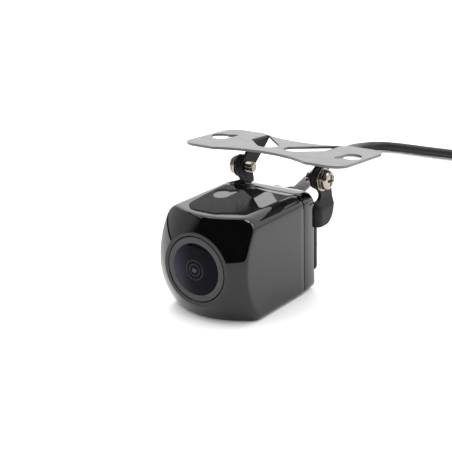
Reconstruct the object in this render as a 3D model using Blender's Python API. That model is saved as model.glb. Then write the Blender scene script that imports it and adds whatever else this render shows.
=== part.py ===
"""A small metal backup camera on a tilting mounting plate, with its lead and plug.

All dimensions below are in millimetres and the meshes are scaled to metres when they are made.
The lens looks along -Y, +Z is up, and the origin is the middle of the face the housing rests on.
"""
import math

import bmesh
import bpy
from mathutils import Vector

MM = 0.001
GAP = 0.3                     # clearance between pieces that rest on each other
THIN_GAP = 0.1                # clearance between the thin pieces clamped on the pivot

# Housing: a rounded block whose front is a shallow dome with a flat round land in the middle
HOUSING_WIDTH = 26.0
HOUSING_HEIGHT = 26.7
HOUSING_CORNER = 2.3
HOUSING_FOOT_CORNER = 1.4     # the two long bottom edges are tighter than the top ones
FRONT_Y = -14.0
SEAM_Y = 14.0
DOME_RADIUS = 16.0
DOME_EDGE_SHARPNESS = 18.0
LAND_RADIUS = 9.3
CAVITY_RADIUS = 10.6
FRONT_WALL = 5.0
BORE_RADIUS = 8.3
LENS_Z = 13.4
MID_Z = HOUSING_HEIGHT / 2
HOUSING_SIDES = 48
DOME_DEPTHS = (0.15, 0.8, 1.7, 2.8, 4.2, 6.0, 8.5, 12.0)

# Rear cover, case screws and the sheet yoke behind them
COVER_REAR_Y = 18.1
COVER_CORNER = 3.0
COVER_CHAMFER = 0.6
SPIGOT_RADIUS = 10.3
SPIGOT_FRONT_Y = 10.5
SCREW_X = 9.7
SCREW_RISE = 6.8
CASE_SCREW_RADIUS = 0.95
CASE_SCREW_HOLE = 1.2
CASE_SCREW_TIP_Y = 9.0
CASE_HEAD_RADIUS = 1.9
CASE_HEAD_HEIGHT = 1.3
SHEET = 1.0
YOKE_FRONT_Y = COVER_REAR_Y + 0.2
YOKE_REAR_Y = YOKE_FRONT_Y + SHEET
EAR_OUTER_X = 13.8
EAR_SHIFT = 1.2               # how far each ear steps inwards above the cover
EAR_BOTTOM_Z = 16.3
EAR_STEP_Z = 22.8
EAR_STEP_RISE = 2.2

# Cable outlet and cable
OUTLET_Z = 20.8
BOOT_END_Y = 30.0
CABLE_DIAMETER = 3.2

# Pivot of the mounting plate
PIVOT_Y = 23.45
PIVOT_Z = 28.2
PLATE_TILT = 4.0              # degrees, the rear edge lower than the front
EAR_LOBE_RADIUS = 3.0
TAB_LOBE_RADIUS = 2.7
PIVOT_HOLE_RADIUS = 1.6
PIVOT_SCREW_RADIUS = 1.4
PIVOT_SCREW_TIP_X = 8.2
PIVOT_HEAD_RADIUS = 2.8
PIVOT_HEAD_HEIGHT = 1.4

# Mounting plate, in its own frame with the pivot axis at the origin
PLATE_TOP = 6.64
PLATE_THICKNESS = 0.7
PLATE_HALF_LENGTH = 24.6
PLATE_FRONT = -11.2
PLATE_REAR = 12.4
PLATE_CORNER = 4.2
WAIST_HALF_LENGTH = 13.7
WAIST_DEPTH = 3.9
KEYHOLE_X = 20.2
KEYHOLE_Y = 1.4
KEYHOLE_RADIUS = 2.3
KEYHOLE_STRETCH = 1.1         # half the straight length of the hole, along its own slant
KEYHOLE_SLANT = 122.0
KEYHOLE_SLOT_RADIUS = 1.1
KEYHOLE_SLOT_REACH = 3.8
KEYHOLE_SLOT_ANGLE = 54.0
TAB_X = 10.5
TAB_THICKNESS = 0.7
BEND_X = TAB_X + TAB_THICKNESS / 2 + 0.1
TAB_BEND_Y = 6.8
TAB_KERF = 0.15

# Coil of spare cable and the plug beside it
COIL_CENTRE = (24.0, 129.4)
COIL_RADIUS = 17.6
TURN_PITCH = 3.25
COIL_LAYERS = 3
COIL_BASE_Z = 0.95
TIE_ANGLE = 250.0
TIE_WIDTH = 3.0
TIE_THICKNESS = 0.5
PLUG_X = 50.5
PLUG_START_Y = 131.0
PLUG_Z = 5.4

# Route of the cable from the boot to the coil, and from the coil to the plug
CABLE_ROUTE = (
    (0.0, 30.3, 20.8), (-0.4, 32.6, 20.8), (-1.5, 36.5, 20.7), (-4.2, 44.6, 20.1),
    (-9.3, 58.0, 18.5), (-15.2, 71.4, 16.0), (-21.9, 86.7, 12.9), (-28.7, 102.8, 9.7),
    (-34.7, 117.4, 6.6), (-38.8, 130.0, 4.1), (-39.6, 138.0, 2.6), (-37.6, 143.2, 2.0),
    (-33.4, 145.8, 1.8), (-27.6, 146.6, 1.8), (-18.0, 147.1, 1.8), (-6.0, 147.9, 1.9),
    (4.0, 148.4, 2.3), (12.2, 148.6, 2.6),
)
TAIL_ROUTE = (
    (35.8, 148.6, 9.1), (40.0, 148.2, 8.8), (44.2, 146.2, 8.0), (47.6, 142.6, 7.0),
    (49.6, 138.0, 6.0), (50.4, 134.2, 5.5), (50.5, 131.3, 5.4),
)

LOOKS = {
    "gloss_black": ((0.012, 0.012, 0.014), 0.10, 0.0),
    "satin_black": ((0.022, 0.022, 0.024), 0.45, 0.0),
    "satin_grey": ((0.075, 0.075, 0.080), 0.38, 0.6),
    "painted_steel": ((0.130, 0.130, 0.138), 0.38, 0.5),
    "nickel": ((0.620, 0.570, 0.490), 0.25, 1.0),
    "black_screw": ((0.030, 0.030, 0.032), 0.35, 0.8),
    "tinted_glass": ((0.010, 0.010, 0.018), 0.04, 0.0),
    "clear_glass": ((0.550, 0.580, 0.650), 0.03, 0.0),
    "board_green": ((0.010, 0.090, 0.035), 0.50, 0.0),
    "chip_black": ((0.015, 0.015, 0.016), 0.55, 0.0),
    "rubber": ((0.018, 0.018, 0.019), 0.65, 0.0),
    "cable_jacket": ((0.025, 0.025, 0.027), 0.42, 0.0),
    "nylon_white": ((0.600, 0.580, 0.540), 0.50, 0.0),
    "gold": ((0.750, 0.550, 0.220), 0.25, 1.0),
}


def clear_scene():
    for item in list(bpy.data.objects):
        bpy.data.objects.remove(item, do_unlink=True)


def look(node, finish):
    """The node's own material, with the colour, roughness and metallic value of its finish."""
    colour, roughness, metallic = LOOKS[finish]
    material = bpy.data.materials.new(node)
    material.use_nodes = True
    shader = material.node_tree.nodes["Principled BSDF"]
    shader.inputs["Base Color"].default_value = (*colour, 1.0)
    shader.inputs["Roughness"].default_value = roughness
    shader.inputs["Metallic"].default_value = metallic
    return material


def place(name, bm, finish, parent=None):
    """Turn a bmesh in millimetres into an object in metres."""
    bmesh.ops.recalc_face_normals(bm, faces=bm.faces)
    bmesh.ops.scale(bm, vec=(MM, MM, MM), verts=bm.verts)
    mesh = bpy.data.meshes.new(name)
    bm.to_mesh(mesh)
    bm.free()
    mesh.shade_smooth()
    mesh.set_sharp_from_angle(angle=math.radians(32))
    item = bpy.data.objects.new(name, mesh)
    bpy.context.scene.collection.objects.link(item)
    item.parent = parent
    if finish:
        mesh.materials.append(look(name, finish))
    else:
        item.hide_render = True
        item.display_type = "WIRE"
    return item


def loft(rings, cyclic=False):
    """Skin rings of equal length; a cyclic loft closes on itself, any other is capped."""
    bm = bmesh.new()
    rows = [[bm.verts.new(point) for point in ring] for ring in rings]
    pairs = list(zip(rows, rows[1:]))
    if cyclic:
        pairs.append((rows[-1], rows[0]))
    else:
        bm.faces.new(rows[0])
        bm.faces.new(rows[-1])
    for low, high in pairs:
        for index in range(len(low)):
            after = (index + 1) % len(low)
            bm.faces.new((low[index], low[after], high[after], high[index]))
    return bm


def prism(outline, axis, start, end):
    """Extrude an outline of (u, v) points along x, y or z from start to end."""
    def at(point, along):
        coords = {"x": (along, point[0], point[1]),
                  "y": (point[0], along, point[1]),
                  "z": (point[0], point[1], along)}
        return coords[axis]
    return loft([[at(point, start) for point in outline], [at(point, end) for point in outline]])


def turned(profile, axis, centre, sides=32):
    """Spin a closed profile of (radius, along) points about x or y; centre is its axis line."""
    def ring(radius, along):
        points = []
        for index in range(sides):
            angle = 2 * math.pi * index / sides
            u = centre[0] + radius * math.cos(angle)
            v = centre[1] + radius * math.sin(angle)
            points.append({"x": (along, u, v), "y": (u, along, v), "z": (u, v, along)}[axis])
        return points
    on_axis = profile[0][0] == 0
    profile = profile[1:-1] if on_axis else profile
    return loft([ring(radius, along) for radius, along in profile], cyclic=not on_axis)


def solid_profile(*points):
    """Close a list of (radius, along) points onto the axis at both ends."""
    return [(0, points[0][1]), *points, (0, points[-1][1])]


def tube_profile(inner, outer, start, end):
    return [(inner, start), (outer, start), (outer, end), (inner, end)]


def arc(centre, radius, start, end, count):
    points = []
    for index in range(count + 1):
        angle = math.radians(start + (end - start) * index / count)
        points.append((centre[0] + radius * math.cos(angle), centre[1] + radius * math.sin(angle)))
    return points


def rounded_box(half_u, half_v, radius, centre=(0, 0), count=3):
    points = []
    for sign_u, sign_v, start in ((1, 1, 0), (-1, 1, 90), (-1, -1, 180), (1, -1, 270)):
        corner = (centre[0] + sign_u * (half_u - radius), centre[1] + sign_v * (half_v - radius))
        points += arc(corner, radius, start, start + 90, count)
    return points


def combine(item, other, operation):
    modifier = item.modifiers.new(operation.lower() + "_" + other.name, "BOOLEAN")
    modifier.operation = operation
    modifier.solver = "EXACT"
    modifier.object = other


def cut(item, bm, name, parent=None):
    combine(item, place(name, bm, None, parent), "DIFFERENCE")


def add(item, bm, name, parent=None):
    combine(item, place(name, bm, None, parent), "UNION")


def block_reach(angle, corner, half_width, half_height):
    """Distance from the middle of a rounded rectangle to its edge in one direction."""
    step_u, step_v = abs(math.cos(angle)), abs(math.sin(angle))
    inner_u, inner_v = half_width - corner, half_height - corner
    if step_u and half_width * step_v / step_u <= inner_v:
        return half_width / step_u
    if step_v and half_height * step_u / step_v <= inner_u:
        return half_height / step_v
    along = step_u * inner_u + step_v * inner_v
    return along + math.sqrt(along ** 2 - inner_u ** 2 - inner_v ** 2 + corner ** 2)


def housing_ring(depth):
    """Section of the housing: the block's outline blended into the dome's circle."""
    start = LAND_RADIUS ** 2 / (2 * DOME_RADIUS)
    dome = math.sqrt(2 * DOME_RADIUS * (start + depth))
    points = []
    for index in range(HOUSING_SIDES):
        angle = 2 * math.pi * index / HOUSING_SIDES
        corner = HOUSING_CORNER if angle <= math.pi else HOUSING_FOOT_CORNER
        block = block_reach(angle, corner, HOUSING_WIDTH / 2, HOUSING_HEIGHT / 2)
        power = DOME_EDGE_SHARPNESS
        reach = (block ** -power + dome ** -power) ** (-1 / power)
        points.append((reach * math.cos(angle), FRONT_Y + depth, MID_Z + reach * math.sin(angle)))
    return points


def circle_ring(radius, y, z=MID_Z):
    points = []
    for index in range(HOUSING_SIDES):
        angle = 2 * math.pi * index / HOUSING_SIDES
        points.append((radius * math.cos(angle), y, z + radius * math.sin(angle)))
    return points


def block_ring(inset, y):
    points = []
    for index in range(HOUSING_SIDES):
        angle = 2 * math.pi * index / HOUSING_SIDES
        reach = block_reach(angle, COVER_CORNER - inset, HOUSING_WIDTH / 2 - 0.1 - inset,
                            HOUSING_HEIGHT / 2 - 0.1 - inset)
        points.append((reach * math.cos(angle), y, MID_Z + reach * math.sin(angle)))
    return points


def case_screw_places():
    return [(side * SCREW_X, MID_Z + rise * SCREW_RISE) for rise in (1, -1) for side in (-1, 1)]


def make_housing():
    rings = [circle_ring(LAND_RADIUS - 0.15, FRONT_Y, LENS_Z)]
    rings += [housing_ring(depth) for depth in DOME_DEPTHS]
    rings += [housing_ring(SEAM_Y - FRONT_Y)]
    rings += [circle_ring(CAVITY_RADIUS, SEAM_Y), circle_ring(CAVITY_RADIUS, FRONT_Y + FRONT_WALL)]
    rings += [circle_ring(BORE_RADIUS, FRONT_Y + FRONT_WALL, LENS_Z)]
    rings += [circle_ring(BORE_RADIUS, FRONT_Y, LENS_Z)]
    housing = place("front_housing", loft(rings, cyclic=True), "gloss_black")
    for index, (x, z) in enumerate(case_screw_places()):
        hole = turned(solid_profile((CASE_SCREW_HOLE, CASE_SCREW_TIP_Y - 0.5),
                                    (CASE_SCREW_HOLE, SEAM_Y + 1)), "y", (x, z), 12)
        cut(housing, hole, f"housing_hole_{index + 1}")


def make_lens():
    axis = (0, LENS_Z)
    bezel = [(6.5, -14.0), (8.1, -14.0), (8.1, -9.6), (6.6, -9.6), (6.6, -12.3), (6.0, -12.3),
             (6.0, -12.95), (6.5, -12.95)]
    place("lens_bezel", turned(bezel, "y", axis, 36), "satin_grey")
    place("bezel_seal", turned(tube_profile(6.35, 8.0, -9.2, -8.3), "y", axis, 20), "rubber")
    glass = solid_profile((2.6, -14.28), (4.6, -14.18), (6.1, -14.0), (6.3, -13.85), (6.3, -13.15))
    place("front_glass", turned(glass, "y", axis, 36), "tinted_glass")
    barrel = [(2.6, -12.8), (5.8, -12.8), (5.8, -2.0), (4.4, -2.0), (4.4, -5.2), (2.2, -5.2),
              (2.2, -11.2), (2.6, -11.2)]
    place("lens_barrel", turned(barrel, "y", axis, 24), "satin_black")
    front = solid_profile((0.8, -12.98), (1.7, -12.8), (2.4, -12.45), (2.4, -11.5))
    place("front_element", turned(front, "y", axis, 20), "clear_glass")
    middle = solid_profile((1.9, -10.4), (2.0, -9.2))
    place("middle_element", turned(middle, "y", axis, 16), "clear_glass")
    rear = solid_profile((4.1, -4.9), (4.1, -3.9))
    place("rear_element", turned(rear, "y", axis, 16), "clear_glass")
    place("element_lock_ring", turned(tube_profile(2.6, 4.1, -3.6, -2.3), "y", axis, 16),
          "satin_black")


def make_electronics():
    axis = (0, MID_Z)
    holder = place("lens_holder", prism(rounded_box(7.2, 7.2, 1.0, axis), "y", -7.9, 0.2),
                   "satin_black")
    bore = solid_profile((6.1, -9.0), (6.1, -1.7), (4.4, -1.7), (4.4, 1.0))
    cut(holder, turned(bore, "y", (0, LENS_Z), 24), "holder_bore")
    place("image_sensor", prism(rounded_box(3.0, 2.6, 0.2, axis, 1), "y", -0.9, 0.15), "chip_black")
    place("sensor_board", turned(solid_profile((9.8, 0.5), (9.8, 1.5)), "y", axis, 32),
          "board_green")
    for index, angle in enumerate((90, 210, 330)):
        point = arc(axis, 8.2, angle, angle, 1)[0]
        name = f"board_spacer_{index + 1}"
        place(name, turned(tube_profile(0.7, 1.4, 1.8, 5.1), "y", point, 12), "gold")
    place("main_board", turned(solid_profile((9.8, 5.4), (9.8, 6.4)), "y", axis, 32),
          "board_green")
    place("board_socket", prism(rounded_box(4.2, 2.0, 0.3, axis, 1), "y", 6.7, 9.2), "nylon_white")


def make_cover():
    rings = [block_ring(COVER_CHAMFER, COVER_REAR_Y), block_ring(0, COVER_REAR_Y - COVER_CHAMFER),
             block_ring(0, SEAM_Y + GAP)]
    spigot = ((SPIGOT_RADIUS, SEAM_Y + GAP), (SPIGOT_RADIUS, 12.9), (9.6, 12.9), (9.6, 11.6),
              (SPIGOT_RADIUS, 11.6), (SPIGOT_RADIUS, SPIGOT_FRONT_Y), (8.9, SPIGOT_FRONT_Y),
              (8.9, 15.2))
    rings += [circle_ring(radius, y) for radius, y in spigot]
    cover = place("rear_cover", loft(rings), "gloss_black")
    bore = turned(solid_profile((2.0, 13.0), (2.0, 20.0)), "y", (0, OUTLET_Z), 16)
    cut(cover, bore, "cover_outlet")
    for index, (x, z) in enumerate(case_screw_places()):
        hole = turned(solid_profile((CASE_SCREW_HOLE, 12.0), (CASE_SCREW_HOLE, 20.0)), "y",
                      (x, z), 12)
        cut(cover, hole, f"cover_hole_{index + 1}")
    ring = arc((10.08, 12.25), 0.4, 0, 300, 5)
    place("cover_seal", turned(ring, "y", (0, MID_Z), 28), "rubber")


def ear_rows():
    """Rows of the right ear from bottom to top: height, front y, rear y, inner x."""
    step = EAR_STEP_Z
    edges = [(EAR_BOTTOM_Z, 18.6, 23.6), (EAR_BOTTOM_Z + 0.4, 18.6, 25.0),
             (EAR_BOTTOM_Z + 1.3, 18.6, 26.2), (EAR_BOTTOM_Z + 2.5, 18.6, 26.9),
             (EAR_BOTTOM_Z + 4.1, 18.6, 27.3), (step - 0.4, 18.6, 27.2), (step, 18.9, 27.2),
             (step + 0.2, 21.6, 27.2), (step + 0.7, 22.2, 27.1), (step + 1.4, 22.3, 27.0),
             (step + 2.2, 22.0, 26.9), (step + 3.1, 21.3, 26.7), (step + 4.2, 20.65, 26.5)]
    for angle in (0, 18, 36, 54, 72, 84):
        reach = EAR_LOBE_RADIUS * math.cos(math.radians(angle))
        height = PIVOT_Z + EAR_LOBE_RADIUS * math.sin(math.radians(angle))
        edges.append((height, PIVOT_Y - reach, PIVOT_Y + reach))
    rows = []
    for height, front, rear in edges:
        part = min(max((height - EAR_STEP_Z) / EAR_STEP_RISE, 0), 1)
        inner = EAR_OUTER_X - SHEET - EAR_SHIFT * part * part * (3 - 2 * part)
        rows.append((height, front, rear, inner))
    return rows


def ear(side):
    rings = []
    for height, front, rear, inner in ear_rows():
        outer = inner + SHEET
        rings.append([(side * inner, front, height), (side * outer, front, height),
                      (side * outer, rear, height), (side * inner, rear, height)])
    return loft(rings)


def make_yoke():
    half = [(11.4, 4.6), (12.5, 5.0), (13.0, 6.1), (13.0, EAR_BOTTOM_Z + 0.2),
            (EAR_OUTER_X - 0.2, EAR_BOTTOM_Z + 0.2), (EAR_OUTER_X - 0.2, EAR_STEP_Z - 0.6),
            (12.4, EAR_STEP_Z), (9.0, 23.6), (4.7, 23.6)]
    notch = arc((0, OUTLET_Z), 4.7, 0, -180, 8)
    outline = half + notch + [(-x, z) for x, z in reversed(half)]
    yoke = place("yoke", prism(outline, "y", YOKE_FRONT_Y, YOKE_REAR_Y), "satin_black")
    for side, word in ((-1, "left"), (1, "right")):
        add(yoke, ear(side), f"yoke_ear_{word}")
    axle = turned(solid_profile((PIVOT_HOLE_RADIUS, -16), (PIVOT_HOLE_RADIUS, 16)), "x",
                  (PIVOT_Y, PIVOT_Z), 24)
    cut(yoke, axle, "yoke_pivot_hole")
    for index, (x, z) in enumerate(case_screw_places()):
        hole = turned(solid_profile((CASE_SCREW_HOLE, 17.0), (CASE_SCREW_HOLE, 21.0)), "y",
                      (x, z), 12)
        cut(yoke, hole, f"yoke_hole_{index + 1}")


def make_case_screws():
    start = YOKE_REAR_Y + THIN_GAP
    end = start + CASE_HEAD_HEIGHT
    for index, (x, z) in enumerate(case_screw_places()):
        profile = solid_profile((CASE_SCREW_RADIUS, CASE_SCREW_TIP_Y), (CASE_SCREW_RADIUS, start),
                                (CASE_HEAD_RADIUS, start), (CASE_HEAD_RADIUS, end - 0.5),
                                (CASE_HEAD_RADIUS - 0.5, end))
        screw = place(f"case_screw_{index + 1}", turned(profile, "y", (x, z), 12), "black_screw")
        for turn, (half_x, half_z) in enumerate(((1.1, 0.22), (0.22, 1.1))):
            slot = prism(rounded_box(half_x, half_z, 0.05, (x, z), 1), "y", end - 0.6, end + 1)
            cut(screw, slot, f"case_slot_{index + 1}_{turn + 1}")


def make_cable_outlet():
    profile = solid_profile((1.7, 13.4), (1.7, 18.4), (4.2, 18.4), (4.2, 22.2), (3.8, 22.6),
                            (3.3, 22.8), (2.8, 26.0), (2.3, BOOT_END_Y))
    place("cable_boot", turned(profile, "y", (0, OUTLET_Z), 24), "rubber")
    lead_route = ((0, 13.1, OUTLET_Z), (0, 12.4, OUTLET_Z - 0.3), (0, 12.0, OUTLET_Z - 2),
                  (0, 11.8, 16.0), (0, 11.2, 13.9), (0, 9.6, MID_Z))
    cable_tube("inner_lead", lead_route, 1.8, "cable_jacket")


def pivot_frame():
    """Empty on the tilt axis; everything that tilts with the plate hangs from it."""
    empty = bpy.data.objects.new("pivot_frame", None)
    bpy.context.scene.collection.objects.link(empty)
    empty.location = (0, PIVOT_Y * MM, PIVOT_Z * MM)
    empty.rotation_euler = (-math.radians(PLATE_TILT), 0, 0)
    return empty


def plate_outline():
    """Two rectangular ends with rounded corners, joined by a waist of two shallow arcs."""
    radius = (WAIST_HALF_LENGTH ** 2 + WAIST_DEPTH ** 2) / (2 * WAIST_DEPTH)
    spread = math.degrees(math.asin(WAIST_HALF_LENGTH / radius))
    inner_x = PLATE_HALF_LENGTH - PLATE_CORNER
    front, rear = PLATE_FRONT + PLATE_CORNER, PLATE_REAR - PLATE_CORNER
    rear_centre = (0, PLATE_REAR - WAIST_DEPTH + radius)
    front_centre = (0, PLATE_FRONT + WAIST_DEPTH - radius)
    points = arc((inner_x, rear), PLATE_CORNER, 0, 90, 4)
    points += arc(rear_centre, radius, -90 + spread, -90 - spread, 12)
    points += arc((-inner_x, rear), PLATE_CORNER, 90, 180, 4)
    points += arc((-inner_x, front), PLATE_CORNER, 180, 270, 4)
    points += arc(front_centre, radius, 90 + spread, 90 - spread, 12)
    points += arc((inner_x, front), PLATE_CORNER, 270, 360, 4)
    return points


def keyhole_outline(side):
    """A round hole with a short slot, slanting to the rear on the left and forwards on the right."""
    centre = Vector((side * KEYHOLE_X, KEYHOLE_Y))
    turn = 0 if side < 0 else 180
    slant = math.radians(KEYHOLE_SLANT + turn)
    stretch = Vector((math.cos(slant), math.sin(slant))) * KEYHOLE_STRETCH
    heading = math.radians(KEYHOLE_SLOT_ANGLE + turn)
    end = centre + Vector((math.cos(heading), math.sin(heading))) * KEYHOLE_SLOT_REACH
    start = KEYHOLE_SLANT + turn
    hole = arc(centre + stretch, KEYHOLE_RADIUS, start - 60, start + 90, 9)
    hole += arc(centre - stretch, KEYHOLE_RADIUS, start + 90, start + 250, 9)
    slot = arc(end, KEYHOLE_SLOT_RADIUS, start - 150, start + 10, 7)
    return hole + slot


def window_outline(side):
    """Opening left by a tab: a slanted strip with a round end, cut on its bend line."""
    lobe = Vector((BEND_X - PLATE_TOP - 0.2, 0))
    way = (Vector((BEND_X, TAB_BEND_Y)) - lobe).normalized()
    across = Vector((-way.y, way.x))
    half = TAB_LOBE_RADIUS + TAB_KERF
    heading = math.degrees(math.atan2(way.y, way.x))
    points = arc(lobe, half, heading + 90, heading + 270, 12)
    for edge in (-1, 1):
        base = lobe + across * half * edge
        points.append(tuple(base + way * ((BEND_X - base.x) / way.x)))
    return [(side * x, y) for x, y in points]


def tab_outline():
    """A tab after bending, in the (y, z) plane: round the pivot, then up and back to the plate."""
    top = PLATE_TOP - PLATE_THICKNESS / 2
    way = Vector((TAB_BEND_Y, top)).normalized()
    across = Vector((-way.y, way.x))
    heading = math.degrees(math.atan2(way.y, way.x))
    points = arc((0, 0), TAB_LOBE_RADIUS, heading + 90, heading + 270, 12)
    for edge in (-1, 1):
        base = across * TAB_LOBE_RADIUS * edge
        points.append(tuple(base + way * ((top - base.y) / way.y)))
    return points


def make_plate(pivot):
    bottom = PLATE_TOP - PLATE_THICKNESS
    plate = place("mounting_plate", prism(plate_outline(), "z", bottom, PLATE_TOP),
                  "painted_steel", pivot)
    for side, word in ((-1, "left"), (1, "right")):
        for kind, outline in (("keyhole", keyhole_outline(side)), ("window", window_outline(side))):
            cut(plate, prism(outline, "z", bottom - 1, PLATE_TOP + 1), f"{kind}_{word}", pivot)
        tab = prism(tab_outline(), "x", side * TAB_X, side * (TAB_X + TAB_THICKNESS))
        add(plate, tab, f"tab_{word}", pivot)
    axle = turned(solid_profile((PIVOT_HOLE_RADIUS, -16), (PIVOT_HOLE_RADIUS, 16)), "x", (0, 0), 24)
    cut(plate, axle, "tab_pivot_hole", pivot)


def make_pivot_hardware(pivot):
    """Screw, split washer, flat washer and friction washer on each side of the pivot axis."""
    friction = TAB_X + TAB_THICKNESS + THIN_GAP
    flat = EAR_OUTER_X - EAR_SHIFT + THIN_GAP
    split = flat + 0.35 + THIN_GAP
    head = split + 0.5 + THIN_GAP
    for side, word in ((-1, "left"), (1, "right")):
        rings = (("friction_washer", friction, 0.2, 2.9, "rubber"),
                 ("flat_washer", flat, 0.35, 3.0, "nickel"),
                 ("split_washer", split, 0.5, 2.6, "nickel"))
        for kind, start, width, radius, finish in rings:
            profile = [(r, side * x) for r, x in tube_profile(1.65, radius, start, start + width)]
            washer = place(f"{kind}_{word}", turned(profile, "x", (0, 0), 24), finish, pivot)
            if kind == "split_washer":
                opening = prism([(-0.3, 1.0), (0.1, 1.0), (0.5, 3.5), (0.1, 3.5)], "x",
                                side * (start - 1), side * (start + 2))
                cut(washer, opening, f"split_{word}", pivot)
        top = head + PIVOT_HEAD_HEIGHT
        points = ((PIVOT_SCREW_RADIUS - 0.3, PIVOT_SCREW_TIP_X),
                  (PIVOT_SCREW_RADIUS, PIVOT_SCREW_TIP_X + 0.3), (PIVOT_SCREW_RADIUS, head),
                  (PIVOT_HEAD_RADIUS, head), (PIVOT_HEAD_RADIUS, top - 0.8),
                  (PIVOT_HEAD_RADIUS - 0.5, top - 0.25), (PIVOT_HEAD_RADIUS - 1.5, top))
        profile = solid_profile(*((radius, side * x) for radius, x in points))
        screw = place(f"pivot_screw_{word}", turned(profile, "x", (0, 0), 24), "nickel", pivot)
        for turn, (half_y, half_z) in enumerate(((1.5, 0.3), (0.3, 1.5))):
            slot = prism(rounded_box(half_y, half_z, 0.1, (0, 0), 1), "x", side * (top - 0.8),
                         side * (top + 1))
            cut(screw, slot, f"screw_slot_{word}_{turn + 1}", pivot)


def smooth_route(route, spacing):
    """Points about one spacing apart on a Catmull-Rom curve through the route."""
    knots = [Vector(point) for point in route]
    knots = [2 * knots[0] - knots[1], *knots, 2 * knots[-1] - knots[-2]]
    points = []
    for before, start, end, after in zip(knots, knots[1:], knots[2:], knots[3:]):
        count = max(1, round((end - start).length / spacing))
        for index in range(count):
            t = index / count
            ease = (2 * start + (end - before) * t
                    + (2 * before - 5 * start + 4 * end - after) * t ** 2
                    + (3 * start - before - 3 * end + after) * t ** 3)
            points.append(ease / 2)
    points.append(knots[-2])
    return points


def cable_tube(name, route, diameter, finish):
    curve = bpy.data.curves.new(name, "CURVE")
    curve.dimensions = "3D"
    curve.bevel_depth = diameter / 2 * MM
    curve.bevel_resolution = 2
    curve.use_fill_caps = True
    points = smooth_route(route, 2.4 * diameter)
    spline = curve.splines.new("POLY")
    spline.points.add(len(points) - 1)
    for knot, point in zip(spline.points, points):
        knot.co = (*(point * MM), 1.0)
    curve.materials.append(look(name, finish))
    item = bpy.data.objects.new(name, curve)
    bpy.context.scene.collection.objects.link(item)


def make_coil():
    half_width = TURN_PITCH / 2 + CABLE_DIAMETER / 2 + 0.05
    top = COIL_BASE_Z + (COIL_LAYERS - 1) * TURN_PITCH + CABLE_DIAMETER + 0.1
    edge = 1.0
    inner, outer = COIL_RADIUS - half_width, COIL_RADIUS + half_width
    profile = [(inner, COIL_BASE_Z + edge), (inner + edge, COIL_BASE_Z),
               (outer - edge, COIL_BASE_Z), (outer, COIL_BASE_Z + edge), (outer, top - edge),
               (outer - edge, top), (inner + edge, top), (inner, top - edge)]
    place("cable_coil", turned(profile, "z", COIL_CENTRE, 40), "cable_jacket")
    make_tie(half_width, top)


def make_tie(half_width, top):
    """A flat band round the coil's bundle, built across the coil's own radius."""
    angle = math.radians(TIE_ANGLE)
    out = Vector((math.cos(angle), math.sin(angle), 0))
    along = Vector((-math.sin(angle), math.cos(angle), 0))
    centre = Vector((*COIL_CENTRE, 0)) + out * COIL_RADIUS
    near, low, high = half_width + 0.35, COIL_BASE_Z - 0.3, top + 0.3
    far = near + TIE_THICKNESS
    inside = [(-near, low), (near, low), (near, high), (-near, high)]
    outside = [(-far, low - TIE_THICKNESS), (far, low - TIE_THICKNESS),
               (far, high + TIE_THICKNESS), (-far, high + TIE_THICKNESS)]

    def ring(points, shift):
        return [centre + out * u + along * shift + Vector((0, 0, v)) for u, v in points]
    half = TIE_WIDTH / 2
    rings = [ring(inside, -half), ring(outside, -half), ring(outside, half), ring(inside, half)]
    place("coil_tie", loft(rings, cyclic=True), "satin_black")


def make_plug():
    """Round waterproof plug lying along -Y: body, insert with four pins, and its captive nut."""
    axis = (PLUG_X, PLUG_Z)
    start = PLUG_START_Y
    body = [(0, start), (2.2, start), (2.7, start - 6), (3.9, start - 6.6), (3.9, start - 10.4),
            (3.2, start - 10.8), (3.2, start - 15.2), (3.9, start - 15.6), (3.9, start - 22.0),
            (3.1, start - 22.0), (3.1, start - 16.6), (0, start - 16.6)]
    place("plug_body", turned(body, "y", axis, 20), "rubber")
    nut = [(4.15, start - 22.6), (5.2, start - 22.6), (5.2, start - 14.2), (3.45, start - 14.2),
           (3.45, start - 15.0), (4.15, start - 15.0)]
    place("coupling_nut", turned(nut, "y", axis, 24), "satin_black")
    insert = solid_profile((2.9, start - 19.6), (2.9, start - 16.9))
    place("pin_insert", turned(insert, "y", axis, 16), "nylon_white")
    for index, angle in enumerate((45, 135, 225, 315)):
        point = arc(axis, 1.5, angle, angle, 1)[0]
        pin = solid_profile((0.3, start - 22.8), (0.45, start - 22.5), (0.45, start - 19.9))
        place(f"plug_pin_{index + 1}", turned(pin, "y", point, 8), "gold")


def main():
    clear_scene()
    make_housing()
    make_lens()
    make_electronics()
    make_cover()
    make_yoke()
    make_case_screws()
    make_cable_outlet()
    pivot = pivot_frame()
    make_plate(pivot)
    make_pivot_hardware(pivot)
    cable_tube("cable", CABLE_ROUTE, CABLE_DIAMETER, "cable_jacket")
    make_coil()
    cable_tube("cable_tail", TAIL_ROUTE, CABLE_DIAMETER, "cable_jacket")
    make_plug()
    bpy.context.view_layer.update()


main()
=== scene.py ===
"""Looks of a small backup camera on its tilting plate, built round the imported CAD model.

Shapes are drawn in millimetres and scaled to metres when their meshes are made.
The lens looks along -Y, +Z is up, and the origin is the middle of the housing's underside.
"""
import math

import bmesh
import bpy
from mathutils import Matrix, Vector


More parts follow.
